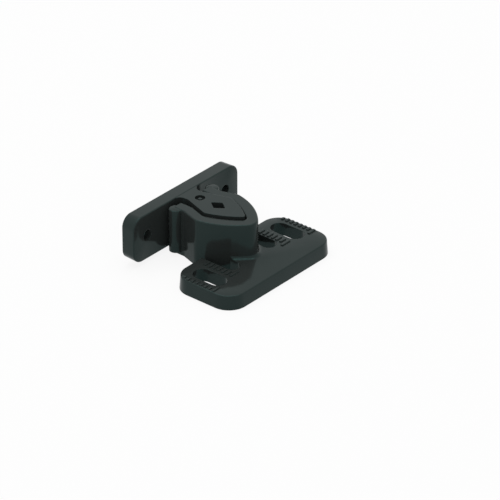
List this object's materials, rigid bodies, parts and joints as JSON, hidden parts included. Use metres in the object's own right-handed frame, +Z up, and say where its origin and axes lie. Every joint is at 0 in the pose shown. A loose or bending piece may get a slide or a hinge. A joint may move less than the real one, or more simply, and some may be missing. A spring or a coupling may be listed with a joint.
{
  "type": "knuckle catch",
  "caption": "Moulded plastic cupboard catch: a slotted base plate whose sprung jaw grips the arrowhead tongue of a screw-on strike plate.",
  "frame": {"origin": "centre of the base plate's underside, which lies on the surface it is screwed to", "axes": "+X along the base plate and the strike, +Y from the base plate towards the strike, +Z up out of the mounting surface"},
  "size_m": [0.0508, 0.045, 0.0176],
  "materials": {
    "black_plastic": "satin black moulded plastic"
  },
  "bodies": {
    "catch": {"catch_body": "black_plastic"},
    "strike": {"strike": "black_plastic"}
  },
  "joints": [
    {"name": "strike_pull", "type": "slide", "parent": "catch", "child": "strike", "axis": [0, 1, 0], "range_m": [0, 0.024], "deforming": ["catch_body"]}
  ]
}
